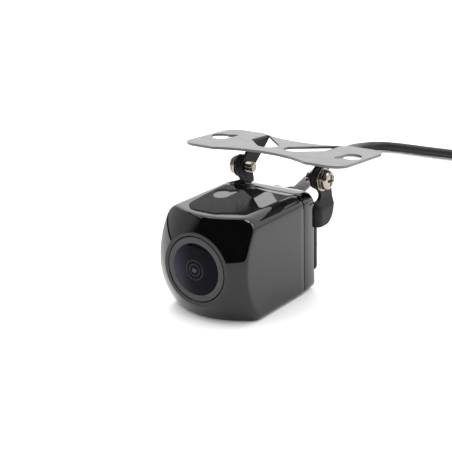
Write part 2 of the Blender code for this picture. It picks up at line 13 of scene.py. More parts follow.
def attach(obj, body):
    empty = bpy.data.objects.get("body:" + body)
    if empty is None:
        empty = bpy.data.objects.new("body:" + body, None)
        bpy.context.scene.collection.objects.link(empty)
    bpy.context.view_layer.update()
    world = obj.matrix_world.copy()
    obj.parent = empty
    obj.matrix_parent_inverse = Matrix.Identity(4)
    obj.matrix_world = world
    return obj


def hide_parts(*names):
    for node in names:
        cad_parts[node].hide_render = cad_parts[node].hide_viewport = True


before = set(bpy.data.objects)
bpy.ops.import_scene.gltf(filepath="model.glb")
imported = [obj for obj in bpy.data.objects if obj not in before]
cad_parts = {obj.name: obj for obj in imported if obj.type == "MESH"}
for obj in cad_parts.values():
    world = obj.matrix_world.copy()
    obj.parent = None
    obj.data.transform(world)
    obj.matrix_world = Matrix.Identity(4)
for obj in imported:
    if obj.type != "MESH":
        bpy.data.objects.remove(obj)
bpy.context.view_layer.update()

MM = 0.001

# Camera, solved for the angle the object is seen from
VIEW_AZIMUTH = 35.77
VIEW_ELEVATION = 18.83
VIEW_ROLL = -1.407
VIEW_DISTANCE = 0.30349
VIEW_TARGET = (0.0, -0.001, 0.0164)
VIEW_SHIFT_RIGHT = -0.000148
VIEW_SHIFT_UP = 0.003975
LENS_MM = 98.11

# Sizes shared with the CAD model, in millimetres
HOUSING_WIDTH = 26.0
HOUSING_HEIGHT = 26.7
FOOT_CORNER = 1.4
MID_Z = HOUSING_HEIGHT / 2
LENS_Z = 13.4
FRONT_Y = -14.0
SEAM_Y = 14.0
SEAM_GAP = 0.2
DOME_RADIUS = 16.0
LAND_RADIUS = 9.3
BORE_RADIUS = 8.3
CAVITY_RADIUS = 10.6
OUTLET_Z = 20.8
PIVOT = (0.0, 23.45, 28.2)
PLATE_TILT = 4.0
SCREW_X = 9.7
SCREW_RISE = 6.8
CABLE_DIAMETER = 3.2
COIL_CENTRE = Vector((24.0, 129.4))
COIL_MEAN_RADIUS = 17.6
COIL_MID_Z = 5.85
TIE_ANGLE = 250
PLUG = (50.5, 131.0, 5.4)
THIN_GAP = 0.1

# Sizes where the looks differ a little from the CAD model
TOP_CORNER = 3.5
TOP_DROP = 0.33                 # how far the housing's top lies below the CAD model's
DOME_SHARPNESS = 50.0           # how tightly the domed front meets the flat sides
HOUSING_SIDES = 384             # points round the housing's outline
COVER_FACE_Y = 19.55
COVER_CORNERS = (3.3, 1.6)
COVER_HOLLOW_Y = 16.0
GLASS_RADIUS = 6.5
GLASS_TOP_Y = -14.6
GLASS_SAG = 0.65                # how far the window's rim lies behind its middle

# Yoke: a sheet bent from the back plate into the two ears
YOKE_SHEET = 1.0
YOKE_MID_Y = 20.1
YOKE_REAR_Y = YOKE_MID_Y + YOKE_SHEET / 2
BEND_CENTRE = (11.8, 21.6)
BEND_MID_RADIUS = 1.5
BEND_LENGTH = math.pi / 2 * BEND_MID_RADIUS
EAR_MID_X = BEND_CENTRE[0] + BEND_MID_RADIUS
EAR_STEP_Z = 22.6               # above this the ear's front edge is free of the back plate
EAR_SHIFT = 1.2                 # how far each ear steps inwards as it rises
EAR_SHIFT_Z = 20.9
EAR_SHIFT_RISE = 2.2
EAR_LOBE_RADIUS = 3.0

# Screws: radius and height of the heads
CASE_HEAD = (1.9, 1.3)
PIVOT_HEAD = (2.5, 1.4)

# Route of the cable as in the CAD model, run a little further into the boot and the plug
CABLE_ROUTE = (
    (0.0, 29.6, 20.8), (-0.4, 32.6, 20.8), (-1.5, 36.5, 20.7), (-4.2, 44.6, 20.1),
    (-9.3, 58.0, 18.5), (-15.2, 71.4, 16.0), (-21.9, 86.7, 12.9), (-28.7, 102.8, 9.7),
    (-34.7, 117.4, 6.6), (-38.8, 130.0, 4.1), (-39.6, 138.0, 2.6), (-37.6, 143.2, 2.0),
    (-33.4, 145.8, 1.8), (-27.6, 146.6, 1.8), (-18.0, 147.1, 1.8), (-6.0, 147.9, 1.9),
    (4.0, 148.4, 2.3), (12.2, 148.6, 2.6),
)
TAIL_ROUTE = (
    (35.8, 148.6, 9.1), (40.0, 148.2, 8.8), (44.2, 146.2, 8.0), (47.6, 142.6, 7.0),
    (49.6, 138.0, 6.0), (50.4, 134.2, 5.5), (50.5, 130.6, 5.4),
)
# Places in the coil's bundle: radius, height, and the turning angle at which each is left
COIL_PLACES = ((19.225, 2.6, 290), (15.975, 2.6, 580), (15.975, 5.85, 870), (19.225, 5.85, 1160),
               (19.225, 9.1, 1440))
COIL_STEP_ANGLE = 70
COIL_TURN = COIL_PLACES[-1][2]
CABLE_SPACING = 2.0             # between the points of the cable's line

# Brightness of the soft light on its bright side and on its dim side, and where the bright side is
WORLD_STRENGTH = 2.25
FRONT_LIGHT = 0.55
BRIGHT_SIDE = (-0.5, 0.85, 0.15)
# Brightness that reflections see behind the object and in front of it
BACK_SHEEN = 1.75
FRONT_SHEEN = 1.15
# Small bright panels: name, azimuth, elevation, width, height, all in degrees, and brightness
HIGHLIGHTS = (("strip_left", -78, 71, 50, 22, 3.5), ("strip_right", 100, 70, 60, 18, 9.0),
              ("side_right", 112, 44, 30, 22, 5.0))


def new_object(name, data):
    item = bpy.data.objects.new(name, data)
    bpy.context.scene.collection.objects.link(item)
    return item


def make_camera():
    azimuth, elevation, roll = (math.radians(v) for v in (VIEW_AZIMUTH, VIEW_ELEVATION, VIEW_ROLL))
    back = Vector((math.sin(azimuth) * math.cos(elevation),
                   -math.cos(azimuth) * math.cos(elevation), math.sin(elevation)))
    level = Vector((math.cos(azimuth), math.sin(azimuth), 0))
    upright = back.cross(level)
    right = level * math.cos(roll) + upright * math.sin(roll)
    up = back.cross(right)
    place = (Vector(VIEW_TARGET) + level * VIEW_SHIFT_RIGHT + upright * VIEW_SHIFT_UP
             + back * VIEW_DISTANCE)
    data = bpy.data.cameras.new("camera")
    data.lens = LENS_MM
    data.clip_start = 0.01
    data.clip_end = 20
    camera = new_object("camera", data)
    turn = Matrix((right, up, back)).transposed().to_4x4()
    camera.matrix_world = Matrix.Translation(place) @ turn
    bpy.context.scene.camera = camera


# ---------------- finishes

def clamped(value):
    return min(max(value, 0), 1)


def eased(part):
    """Smooth step from 0 to 1 as part goes from 0 to 1."""
    return part * part * (3 - 2 * part)


def connect(tree, start, end):
    tree.links.new(start, end)


def add_node(tree, kind, **settings):
    node = tree.nodes.new(kind)
    for key, value in settings.items():
        setattr(node, key, value)
    return node


def set_inputs(node, **numbers):
    for name, number in numbers.items():
        node.inputs[name.replace("_", " ")].default_value = number


def noise(tree, size, detail=3.0, roughness=0.55):
    """Noise from 0 to 1 whose features are about size millimetres across."""
    where = tree.nodes.get("Texture Coordinate") or add_node(tree, "ShaderNodeTexCoord")
    texture = add_node(tree, "ShaderNodeTexNoise")
    set_inputs(texture, Scale=1 / (size * MM), Detail=detail, Roughness=roughness)
    connect(tree, where.outputs["Object"], texture.inputs["Vector"])
    return texture.outputs["Fac"]


def remap(tree, value, low, high, start=0.3, end=0.7):
    """Values from start to end become values from low to high."""
    node = add_node(tree, "ShaderNodeMapRange")
    set_inputs(node, From_Min=start, From_Max=end, To_Min=low, To_Max=high)
    connect(tree, value, node.inputs["Value"])
    return node.outputs["Result"]


def blend_colours(tree, factor, first, second):
    node = add_node(tree, "ShaderNodeMix", data_type="RGBA")
    connect(tree, factor, node.inputs[0])
    for socket, colour in ((node.inputs[6], first), (node.inputs[7], second)):
        if isinstance(colour, tuple):
            socket.default_value = (*colour, 1)
        else:
            connect(tree, colour, socket)
    return node.outputs[2]


def scaled(colour, factor):
    return tuple(min(1.0, channel * factor) for channel in colour)


def add_bump(tree, height, strength, depth):
    relief = add_node(tree, "ShaderNodeBump")
    set_inputs(relief, Strength=strength, Distance=depth * MM)
    connect(tree, height, relief.inputs["Height"])
    return relief


def finish_material(name, colour, roughness, metallic=0.0, ior=1.5, grain=0.25, bump=0.1,
                    depth=0.01, spread=0.05, tone=0.12, patch=4.0):
    """A finish with fine grain in the bump and slow changes of tone and roughness.

    Grain and patch are the sizes of its fine and slow changes in millimetres, and depth is that
    of the grain. Spread is how much the roughness changes, and tone how much the colour does.
    """
    material = bpy.data.materials.new(name)
    material.use_nodes = True
    tree = material.node_tree
    shader = tree.nodes["Principled BSDF"]
    set_inputs(shader, Metallic=metallic, IOR=ior)
    slow = noise(tree, patch)
    connect(tree, remap(tree, slow, max(0.01, roughness - spread), roughness + spread),
            shader.inputs["Roughness"])
    shade = remap(tree, noise(tree, patch * 0.4), 0, 1)
    connect(tree, blend_colours(tree, shade, scaled(colour, 1 - tone), scaled(colour, 1 + tone)),
            shader.inputs["Base Color"])
    relief = add_bump(tree, noise(tree, grain), bump, depth)
    connect(tree, relief.outputs["Normal"], shader.inputs["Normal"])
    return material


WAVE_LENGTH = 0.314             # length of one ring of the wave texture at a scale of 1


def add_rings(material, centre, spacing, strength, depth):
    """Fine turning marks: rings about an axis along y, added to the bump of a finish."""
    tree = material.node_tree
    shader = tree.nodes["Principled BSDF"]
    where = tree.nodes["Texture Coordinate"]
    shift = add_node(tree, "ShaderNodeMapping")
    shift.inputs["Location"].default_value = (-centre[0] * MM, 0, -centre[1] * MM)
    connect(tree, where.outputs["Object"], shift.inputs["Vector"])
    wave = add_node(tree, "ShaderNodeTexWave", wave_type="RINGS", rings_direction="Y")
    set_inputs(wave, Scale=WAVE_LENGTH / (spacing * MM), Distortion=0.4)
    connect(tree, shift.outputs["Vector"], wave.inputs["Vector"])
    relief = add_bump(tree, wave.outputs["Fac"], strength, depth)
    connect(tree, shader.inputs["Normal"].links[0].from_socket, relief.inputs["Normal"])
    connect(tree, relief.outputs["Normal"], shader.inputs["Normal"])
    return material


def make_finishes():
    looks = {}

    def add(name, colour, roughness, **settings):
        looks[name] = finish_material(name, colour, roughness, **settings)
    add("enamel", (0.0022, 0.0022, 0.0025), 0.03, ior=1.46, grain=1.4, bump=0.02, depth=0.004,
        spread=0.012, patch=5.0)
    add("ring", (0.030, 0.030, 0.032), 0.30, metallic=0.35, grain=0.12, bump=0.15, depth=0.004)
    add("plate", (0.070, 0.068, 0.071), 0.30, ior=1.78, grain=0.18, bump=0.06, depth=0.005,
        spread=0.04)
    # Painted shade: the plate's edges get this darker, duller finish than its faces.
    add("painted_shade_edge", (0.006, 0.006, 0.007), 0.45, ior=1.14, grain=0.18, bump=0.08, depth=0.005)
    add("yoke", (0.012, 0.0115, 0.013), 0.36, ior=1.22, grain=0.22, bump=0.10, depth=0.006)
    add("nickel", (0.36, 0.32, 0.265), 0.17, metallic=1.0, grain=0.08, bump=0.06, depth=0.004,
        spread=0.06)
    add("black_screw", (0.035, 0.034, 0.035), 0.34, metallic=0.8, grain=0.1, bump=0.12,
        depth=0.004)
    add("rubber", (0.016, 0.016, 0.017), 0.58, grain=0.16, bump=0.25)
    add("jacket", (0.014, 0.014, 0.0155), 0.42, ior=1.38, grain=0.35, bump=0.14, depth=0.012)
    add("plastic", (0.018, 0.018, 0.019), 0.42, grain=0.12, bump=0.2, depth=0.006)
    add("nylon", (0.60, 0.575, 0.52), 0.45, grain=0.3)
    add("gold", (0.78, 0.56, 0.24), 0.22, metallic=1.0, grain=0.08, bump=0.05, depth=0.003)
    add("board", (0.012, 0.085, 0.035), 0.38, grain=0.2)
    add_rings(looks["ring"], (0, LENS_Z), 0.09, 0.25, 0.003)
    return looks


# ---------------- meshes

def mesh_of(name, bm):
    mesh = bpy.data.meshes.new(name)
    bm.to_mesh(mesh)
    bm.free()
    return mesh


def solid_object(name, bm):
    """Turn a bmesh in millimetres into an object in metres."""
    bmesh.ops.recalc_face_normals(bm, faces=bm.faces)
    bmesh.ops.scale(bm, vec=(MM, MM, MM), verts=bm.verts)
    return new_object(name, mesh_of(name, bm))


def piece(name, bm, finish, body, replaced=(), sharp=35):
    """Turn a bmesh into a piece of the model that rides on a body."""
    return settle(solid_object(name, bm), finish, body, replaced, sharp)


def settle(item, finish, body, replaced=(), sharp=35):
    """Give an object its finish, its smooth shading, its body and the nodes it stands for."""
    if item.type == "MESH":
        item.data.shade_smooth()
        item.data.set_sharp_from_angle(angle=math.radians(sharp))
    item.data.materials.clear()
    item.data.materials.append(finish)
    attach(item, body)
    if replaced:
        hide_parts(*replaced)
    return item


def bake_modifiers(item):
    bpy.context.view_layer.update()
    graph = bpy.context.evaluated_depsgraph_get()
    mesh = bpy.data.meshes.new_from_object(item.evaluated_get(graph))
    item.modifiers.clear()
    item.data = mesh
    return item


def loft(rings, cyclic=False):
    """Skin rings of equal length; a cyclic loft closes on itself, any other is capped."""
    bm = bmesh.new()
    rows = [[bm.verts.new(point) for point in ring] for ring in rings]
    pairs = list(zip(rows, rows[1:]))
    if cyclic:
        pairs.append((rows[-1], rows[0]))
    else:
        bm.faces.new(rows[0])
        bm.faces.new(rows[-1])
    for low, high in pairs:
        for index in range(len(low)):
            after = (index + 1) % len(low)
            bm.faces.new((low[index], low[after], high[after], high[index]))
    return bm


def rounded(points, radius, steps=4, closed=False):
    """Round the corners of a line of 2D points."""
    count = len(points)
    result = []
    for index, point in enumerate(points):
        if not closed and index in (0, count - 1):
            result.append(tuple(point))
            continue
        here = Vector(point)
        before = Vector(points[index - 1]) - here
        after = Vector(points[(index + 1) % count]) - here
        angle = before.angle(after)
        reach = min(radius / math.tan(angle / 2), before.length * 0.45, after.length * 0.45)
        start, end = here + before.normalized() * reach, here + after.normalized() * reach
        for step in range(steps + 1):
            t = step / steps
            curve = start * (1 - t) ** 2 + here * 2 * t * (1 - t) + end * t ** 2
            result.append(tuple(curve))
    return result


def lathe(profile, axis, centre, sides=96, flutes=0, flute_depth=0.0, flute_from=0.0):
    """Spin a profile of (radius, along) points about an axis along x or y.

    Flutes are cut where the radius is larger than flute_from.
    """
    def ring(radius, along):
        points = []
        for index in range(sides):
            angle = 2 * math.pi * index / sides
            reach = radius
            if flutes and radius > flute_from:
                reach -= flute_depth * (0.5 + 0.5 * math.cos(flutes * angle))
            u = centre[0] + reach * math.cos(angle)
            v = centre[1] + reach * math.sin(angle)
            points.append((along, u, v) if axis == "x" else (u, along, v))
        return points
    solid = profile[0][0] == 0
    profile = profile[1:-1] if solid else profile
    return loft([ring(radius, along) for radius, along in profile], cyclic=not solid)


def solid_of(points, radius=0.1, steps=4):
    """Rounded profile of a solid piece, closed onto its axis at both ends."""
    return rounded([(0, points[0][1]), *points, (0, points[-1][1])], radius, steps)


def washer_of(inner, outer, start, end, radius=0.08):
    corners = [(inner, start), (outer, start), (outer, end), (inner, end)]
    return rounded(corners, radius, 3, closed=True)


def arc(centre, radius, start, end, count):
    """Points on an arc between two angles in degrees."""
    points = []
    for index in range(count + 1):
        angle = math.radians(start + (end - start) * index / count)
        points.append((centre[0] + radius * math.cos(angle), centre[1] + radius * math.sin(angle)))
    return points


def turning(outline):
    """Twice the area of an outline, positive when it runs anticlockwise."""
    return sum(x0 * y1 - x1 * y0 for (x0, y0), (x1, y1) in zip(outline, outline[1:] + outline[:1]))


def without_repeats(outline, least=0.02):
    kept = [outline[0]]
    for point in outline[1:]:
        if math.dist(point, kept[-1]) > least:
            kept.append(point)
    return kept[:-1] if math.dist(kept[0], kept[-1]) <= least else kept


def drawn_in(outline, amount):
    """The outline moved to its left by an amount."""
    count = len(outline)
    moved = []
    for index in range(count):
        here = Vector(outline[index])
        before = (here - Vector(outline[index - 1])).normalized()
        after = (Vector(outline[(index + 1) % count]) - here).normalized()
        left = Vector((-before.y - after.y, before.x + after.x))
        left.normalize()
        stretch = max(0.5, left.dot(Vector((-after.y, after.x))))
        moved.append(tuple(here + left * (amount / stretch)))
    return moved


def move_to(bm, where):
    """Carry a bmesh in millimetres by a transform in metres."""
    bmesh.ops.transform(bm, matrix=Matrix.Scale(1 / MM, 4) @ where @ Matrix.Scale(MM, 4),
                        verts=bm.verts)


def sheet(name, outlines, thickness, edge, where, finish, body, replaced, edge_finish):
    """A flat sheet with holes and rounded edges; where carries it from its plane to its place.

    The first outline is the sheet's own, the others are its holes.
    """
    bm = bmesh.new()
    levels = []
    steps = 3
    for step in range(steps + 1):
        angle = math.pi / 2 * step / steps
        levels.append((edge * (1 - math.sin(angle)), thickness / 2 - edge * (1 - math.cos(angle))))
    levels += [(inset, -height) for inset, height in reversed(levels)]
    rims = ([], [])
    for index, outline in enumerate(outlines):
        outline = without_repeats([tuple(point) for point in outline])
        if (turning(outline) > 0) != (index == 0):
            outline.reverse()
        rows = []
        for inset, height in levels:
            rows.append([bm.verts.new((x, y, height)) for x, y in drawn_in(outline, inset)])
        count = len(outline)
        for upper, lower in zip(rows, rows[1:]):
            for corner in range(count):
                after = (corner + 1) % count
                wall = bm.faces.new((upper[corner], upper[after], lower[after], lower[corner]))
                wall.material_index = 1
        for rim, row in zip(rims, (rows[0], rows[-1])):
            rim += [bm.edges.get((row[corner], row[corner - 1])) for corner in range(count)]
    for rim in rims:
        bmesh.ops.triangle_fill(bm, use_beauty=True, use_dissolve=False, edges=rim)
    move_to(bm, where)
    item = piece(name, bm, finish, body, replaced, sharp=12)
    item.data.materials.append(edge_finish)
    return item


# ---------------- cable

def smooth_route(route, spacing):
    """Points about one spacing apart on a Catmull-Rom curve through the route."""
    knots = [Vector(point) for point in route]
    knots = [2 * knots[0] - knots[1], *knots, 2 * knots[-1] - knots[-2]]
    points = []
    for before, start, end, after in zip(knots, knots[1:], knots[2:], knots[3:]):
        count = max(1, round((end - start).length / spacing))
        for index in range(count):
            t = index / count
            ease = (2 * start + (end - before) * t
                    + (2 * before - 5 * start + 4 * end - after) * t ** 2
                    + (3 * start - before - 3 * end + after) * t ** 3)
            points.append(ease / 2)
    points.append(knots[-2])
    return points


def coil_place(angle):
    """Radius and height in the bundle at a turning angle, with a smooth step between places."""
    for index, (radius, height, leave) in enumerate(COIL_PLACES):
        if angle <= leave:
            return radius, height
        if angle < leave + COIL_STEP_ANGLE:
            ease = eased((angle - leave) / COIL_STEP_ANGLE)
            after = COIL_PLACES[index + 1]
            return radius + (after[0] - radius) * ease, height + (after[1] - height) * ease


def coil_points():
    """The coil's turns, clockwise from its rear, where the cable comes in."""
    points = []
    for angle in range(0, COIL_TURN + 1, 12):
        radius, height = coil_place(angle)
        heading = math.radians(90 - angle)
        points.append(Vector((COIL_CENTRE.x + radius * math.cos(heading),
                              COIL_CENTRE.y + radius * math.sin(heading), height)))
    return points


def make_cable(looks):
    points = (smooth_route(CABLE_ROUTE, CABLE_SPACING) + coil_points()
              + smooth_route(TAIL_ROUTE, CABLE_SPACING))
    length = sum((b - a).length for a, b in zip(points, points[1:]))
    curve = bpy.data.curves.new("cable_line", "CURVE")
    curve.dimensions = "3D"
    curve.bevel_depth = CABLE_DIAMETER / 2 * MM
    curve.bevel_resolution = 6
    curve.use_fill_caps = True
    spline = curve.splines.new("POLY")
    spline.points.add(len(points) - 1)
    for knot, point in zip(spline.points, points):
        knot.co = (*(point * MM), 1.0)
    cable = new_object("cable_line", curve)
    settle(cable, looks["jacket"], "camera", ("cable", "cable_coil", "cable_tail"))
    return cable, length * MM


def make_tie(looks):
    """A strap round the coil's bundle with its small square head on the inside."""
    angle = math.radians(TIE_ANGLE)
    out = Vector((math.cos(angle), math.sin(angle), 0))
    along = Vector((-math.sin(angle), math.cos(angle), 0))
    centre = Vector((*COIL_CENTRE, COIL_MID_Z)) + out * COIL_MEAN_RADIUS
    half_width, half_height, half_strap = 3.85, 5.4, 1.5
    corners = [(half_width, half_height), (-half_width, half_height), (-half_width, -half_height),
               (half_width, -half_height)]
    path = rounded(corners, 1.6, 6, closed=True)
    rings = []
    for index, point in enumerate(path):
        before, after = Vector(path[index - 1]), Vector(path[(index + 1) % len(path)])
        heading = (after - before).normalized()
        outward = Vector((heading.y, -heading.x))
        ring = []
        for side, lift in ((-half_strap, -0.22), (half_strap, -0.22), (half_strap, 0.14),
                           (half_strap - 0.2, 0.22), (0.2 - half_strap, 0.22),
                           (-half_strap, 0.14)):
            spot = Vector(point) - outward * lift
            ring.append(centre + out * spot.x + Vector((0, 0, spot.y)) + along * side)
        rings.append(ring)
    strap = piece("tie_strap", loft(rings, cyclic=True), looks["plastic"], "camera", ("coil_tie",))
    head_centre = centre - out * half_width
    rings = []
    for lift, size in ((-0.75, 2.05), (-0.6, 2.2), (0.6, 2.2), (0.75, 2.05)):
        square = [(size, size), (-size, size), (-size, -size), (size, -size)]
        rings.append([head_centre - out * (lift + 0.1) + along * u + Vector((0, 0, v))
                      for u, v in rounded(square, 0.4, 3, closed=True)])
    head = piece("tie_head", loft(rings), looks["plastic"], "camera", ())
    return [strap, head]


def make_plug(looks):
    x, start, z = PLUG
    axis = (x, z)
    body = [(1.9, start + 0.05), (2.2, start), (2.7, start - 6.0), (3.9, start - 6.6)]
    for groove in range(4):
        y = start - 7.2 - groove * 0.85
        body += [(3.9, y), (3.55, y - 0.15), (3.55, y - 0.35), (3.9, y - 0.5)]
    body += [(3.9, start - 10.4), (3.2, start - 10.8), (3.2, start - 15.2), (3.9, start - 15.6),
             (3.9, start - 22.0), (3.1, start - 22.0), (3.1, start - 16.6)]
    shell = [(0, start + 0.05), *body, (0, start - 16.6)]
    pieces = [piece("plug_shell", lathe(rounded(shell, 0.12, 3), "y", axis, 64), looks["rubber"],
                    "camera", ("plug_body",))]
    nut = rounded([(4.15, start - 22.6), (5.2, start - 22.6), (5.2, start - 14.2),
                   (3.45, start - 14.2), (3.45, start - 15.0), (4.15, start - 15.0)], 0.2, 3, True)
    pieces.append(piece("nut_shell", lathe(nut, "y", axis, 216, 36, 0.22, 5.0), looks["plastic"],
                        "nut", ("coupling_nut",), sharp=50))
    insert = solid_of([(2.9, start - 19.6), (2.9, start - 16.9)], 0.15)
    pieces.append(piece("insert_disc", lathe(insert, "y", axis, 48), looks["nylon"], "camera",
                        ("pin_insert",)))
    for index, angle in enumerate((45, 135, 225, 315)):
        spot = arc(axis, 1.5, angle, angle, 1)[0]
        pin = solid_of([(0.3, start - 22.8), (0.45, start - 22.5), (0.45, start - 19.8)], 0.08)
        pieces.append(piece(f"contact_{index + 1}", lathe(pin, "y", spot, 24), looks["gold"],
                            "camera", (f"plug_pin_{index + 1}",)))
    return pieces


# ---------------- housing

def block_reach(angle, corner, half_width, half_height):
    """Distance from the middle of a rounded rectangle to its edge in one direction."""
    step_u, step_v = abs(math.cos(angle)), abs(math.sin(angle))
    inner_u, inner_v = half_width - corner, half_height - corner
    if step_u > 1e-9 and half_width * step_v / step_u <= inner_v:
        return half_width / step_u
    if step_v > 1e-9 and half_height * step_u / step_v <= inner_u:
        return half_height / step_v
    along = step_u * inner_u + step_v * inner_v
    return along + math.sqrt(along ** 2 - inner_u ** 2 - inner_v ** 2 + corner ** 2)


def section(depth=None, inset=0.0, y=None, corners=(TOP_CORNER, FOOT_CORNER), slim=0.0,
            drop=TOP_DROP):
    """Outline of the block at y, or at a depth behind its front, where the dome cuts into it."""
    points = []
    for index in range(HOUSING_SIDES):
        angle = 2 * math.pi * index / HOUSING_SIDES
        upper = angle <= math.pi
        reach = block_reach(angle, max(corners[0 if upper else 1] - inset, 0.2),
                            HOUSING_WIDTH / 2 - inset - slim,
                            HOUSING_HEIGHT / 2 - inset - slim - (drop if upper else 0))
        if depth is not None:
            dome = math.sqrt(LAND_RADIUS ** 2 + 2 * DOME_RADIUS * depth)
            reach = (reach ** -DOME_SHARPNESS + dome ** -DOME_SHARPNESS) ** (-1 / DOME_SHARPNESS)
        along = FRONT_Y + depth if y is None else y
        points.append((reach * math.cos(angle), along, MID_Z + reach * math.sin(angle)))
    return points


def circle(radius, y, z=MID_Z):
    points = []
    for index in range(HOUSING_SIDES):
        angle = 2 * math.pi * index / HOUSING_SIDES
        points.append((radius * math.cos(angle), y, z + radius * math.sin(angle)))
    return points


def make_housing(looks):
    rings = [circle(LAND_RADIUS - 0.12, FRONT_Y, LENS_Z),
             circle(LAND_RADIUS - 0.03, FRONT_Y + 0.01)]
    rows = 120
    for row in range(1, rows + 1):
        rings.append(section(depth=0.03 + 12.0 * (row / rows) ** 1.7))
    for y in (0, 3, 6, 9, 12, SEAM_Y - 0.25):
        rings.append(section(depth=y - FRONT_Y))
    for inset, y in ((0.03, SEAM_Y - 0.12), (0.09, SEAM_Y - 0.04), (0.2, SEAM_Y)):
        rings.append(section(inset=inset, y=y))
    wall_y = FRONT_Y + 5.0
    rings += [circle(CAVITY_RADIUS, SEAM_Y), circle(CAVITY_RADIUS, wall_y),
              circle(BORE_RADIUS, wall_y, LENS_Z), circle(BORE_RADIUS, FRONT_Y + 0.08, LENS_Z),
              circle(BORE_RADIUS + 0.06, FRONT_Y, LENS_Z)]
    piece("housing_shell", loft(rings, cyclic=True), looks["enamel"], "camera", ("front_housing",),
          sharp=24)
    make_cover(looks)


def make_cover(looks):
    """The rear cover; it gets slimmer to the rear, and its top slopes down."""
    front = SEAM_Y + SEAM_GAP
    rings = []
    for inset, y in ((0.2, front), (0.09, front + 0.04), (0.03, front + 0.12), (0.0, front + 0.25),
                     (0.0, COVER_HOLLOW_Y), (0.0, COVER_FACE_Y - 0.45), (0.06, COVER_FACE_Y - 0.25),
                     (0.2, COVER_FACE_Y - 0.08), (0.4, COVER_FACE_Y)):
        along = (y - front) / (COVER_FACE_Y - front)
        rings.append(section(inset=inset, y=y, corners=COVER_CORNERS, slim=0.03 + 0.2 * along,
                             drop=TOP_DROP + 0.3 * along))
    outlet, hollow = 2.1, 9.6
    rings += [circle(outlet, COVER_FACE_Y, OUTLET_Z), circle(outlet, COVER_HOLLOW_Y, OUTLET_Z),
              circle(hollow, COVER_HOLLOW_Y), circle(hollow, front)]
    piece("cover_shell", loft(rings, cyclic=True), looks["enamel"], "camera", ("rear_cover",),
          sharp=24)


def glass_y(radius):
    """Front of the domed window at a radius."""
    return GLASS_TOP_Y + GLASS_SAG * (radius / GLASS_RADIUS) ** 2.6


def add_painted_crescent_reflection(material, colour):
    """Painted reflection: a violet crescent painted into the window's colour, strongest towards its
    lower left, in place of the coating's reflection.
    """
    tree = material.node_tree
    shader = tree.nodes["Principled BSDF"]
    parts = add_node(tree, "ShaderNodeSeparateXYZ")
    connect(tree, tree.nodes["Texture Coordinate"].outputs["Object"], parts.inputs["Vector"])
    side = remap(tree, parts.outputs["X"], 0.0, 1.0, -1.2 * MM, -6.4 * MM)
    low = remap(tree, parts.outputs["Z"], 0.35, 1.0, (LENS_Z + 5.5) * MM, (LENS_Z - 1.0) * MM)
    amount = add_node(tree, "ShaderNodeMath", operation="MULTIPLY")
    connect(tree, side, amount.inputs[0])
    connect(tree, low, amount.inputs[1])
    plain = shader.inputs["Base Color"].links[0].from_socket
    connect(tree, blend_colours(tree, amount.outputs["Value"], plain, colour),
            shader.inputs["Base Color"])


def make_lens(looks):
    axis = (0, LENS_Z)
    bezel = washer_of(GLASS_RADIUS + 0.05, 8.08, FRONT_Y, -9.6, 0.07)
    piece("bezel_ring", lathe(bezel, "y", axis, 192), looks["ring"], "camera", ("lens_bezel",))
    # Window finish: coated glass, with a violet reflection painted into its colour below.
    coating_and_painted_crescent = finish_material("coating_and_painted_crescent", (0.0015, 0.0013, 0.002), 0.05, ior=1.17, grain=2.0,
                              bump=0.01, depth=0.002, spread=0.02)
    coating_and_painted_crescent.node_tree.nodes["Principled BSDF"].inputs["Specular Tint"].default_value = (
        0.80, 0.74, 1.0, 1)
    # Painted reflection: a violet crescent painted on the window's lower left.
    add_painted_crescent_reflection(coating_and_painted_crescent, (0.026, 0.023, 0.038))
    bead_finish = finish_material("bead", (0.004, 0.004, 0.004), 0.05, ior=1.5, grain=2.0,
                                  bump=0.01, depth=0.002, spread=0.02)
    back_y = -13.3
    radii = [GLASS_RADIUS * step / 40 for step in range(41)]
    dome = [(radius, glass_y(radius)) for radius in radii]
    dome += [(GLASS_RADIUS, back_y), (0, back_y)]
    piece("window", lathe(dome, "y", axis, 128), coating_and_painted_crescent, "camera", ("front_glass",))
    for index, radius in enumerate((2.45, 1.45)):
        ring = arc((radius, glass_y(radius) + 0.03), 0.07, 0, 337.5, 15)
        piece(f"stop_ring_{index + 1}", lathe(ring, "y", axis, 96), looks["plastic"], "camera", ())
    bead_top = GLASS_TOP_Y - 0.1
    bead = [(0, bead_top)]
    for step in range(1, 13):
        angle = math.radians(62 * step / 12)
        bead.append((0.9 * math.sin(angle), bead_top + 0.4 * (1 - math.cos(angle))))
    bead += [(0.79, FRONT_Y), (0, FRONT_Y)]
    piece("centre_element", lathe(bead, "y", axis, 64), bead_finish, "camera", ())


# ---------------- yoke

def ear_point(along, offset, height):
    """A point of the ear by its distance from the back plate and from the sheet's middle.

    Above the step the sheet is flat; below it, its front end is bent into the back plate.
    """
    centre_x, centre_y = BEND_CENTRE
    if along >= BEND_LENGTH or height > EAR_STEP_Z + 0.2:
        return EAR_MID_X + offset, centre_y + along - BEND_LENGTH
    angle = math.pi / 2 * (along / BEND_LENGTH - 1)
    radius = BEND_MID_RADIUS + offset
    return centre_x + radius * math.cos(angle), centre_y + radius * math.sin(angle)


